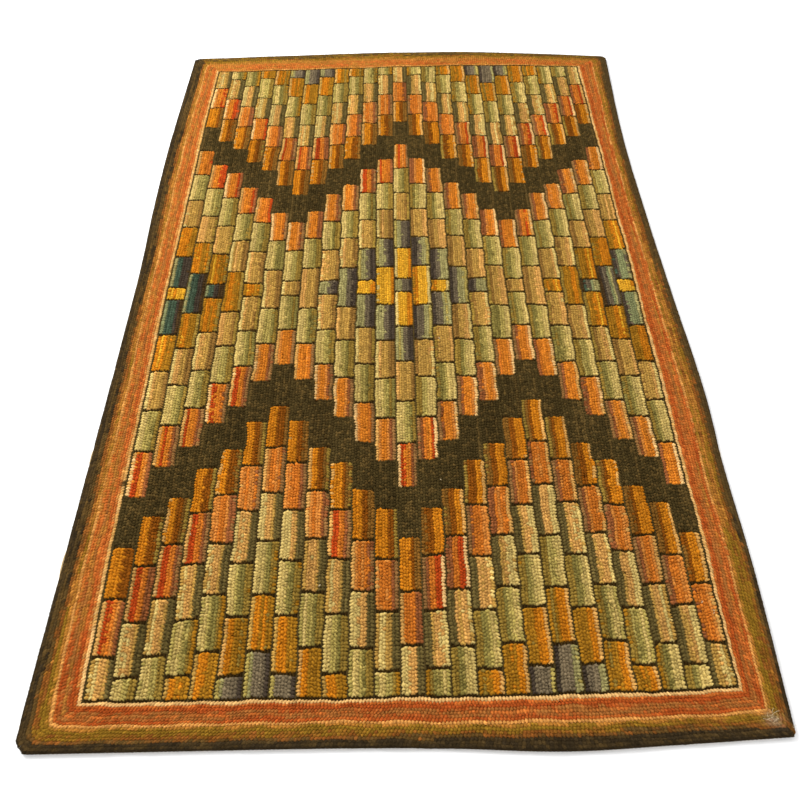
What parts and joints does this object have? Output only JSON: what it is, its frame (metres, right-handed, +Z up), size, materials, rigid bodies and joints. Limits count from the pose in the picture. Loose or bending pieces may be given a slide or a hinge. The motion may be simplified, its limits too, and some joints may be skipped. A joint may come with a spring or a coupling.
{
  "type": "hooked rug",
  "caption": "Flat rectangular hooked rug with slightly uneven edges, a striped border and a stepped brick field in wool loops, lying on its underside.",
  "frame": {"origin": "middle of the underside, on the surface the rug lies on", "axes": "+Z up, +Y along the rug's length from its near end to its far end, +X across its width"},
  "size_m": [0.9538, 1.5566, 0.009],
  "materials": {
    "wool_pile": "matte looped wool pile in many colours",
    "foundation_cloth": "coarse plain-woven foundation, seen at the edges and underneath"
  },
  "bodies": {
    "root": {"hooked_rug": "wool_pile"}
  },
  "joints": []
}
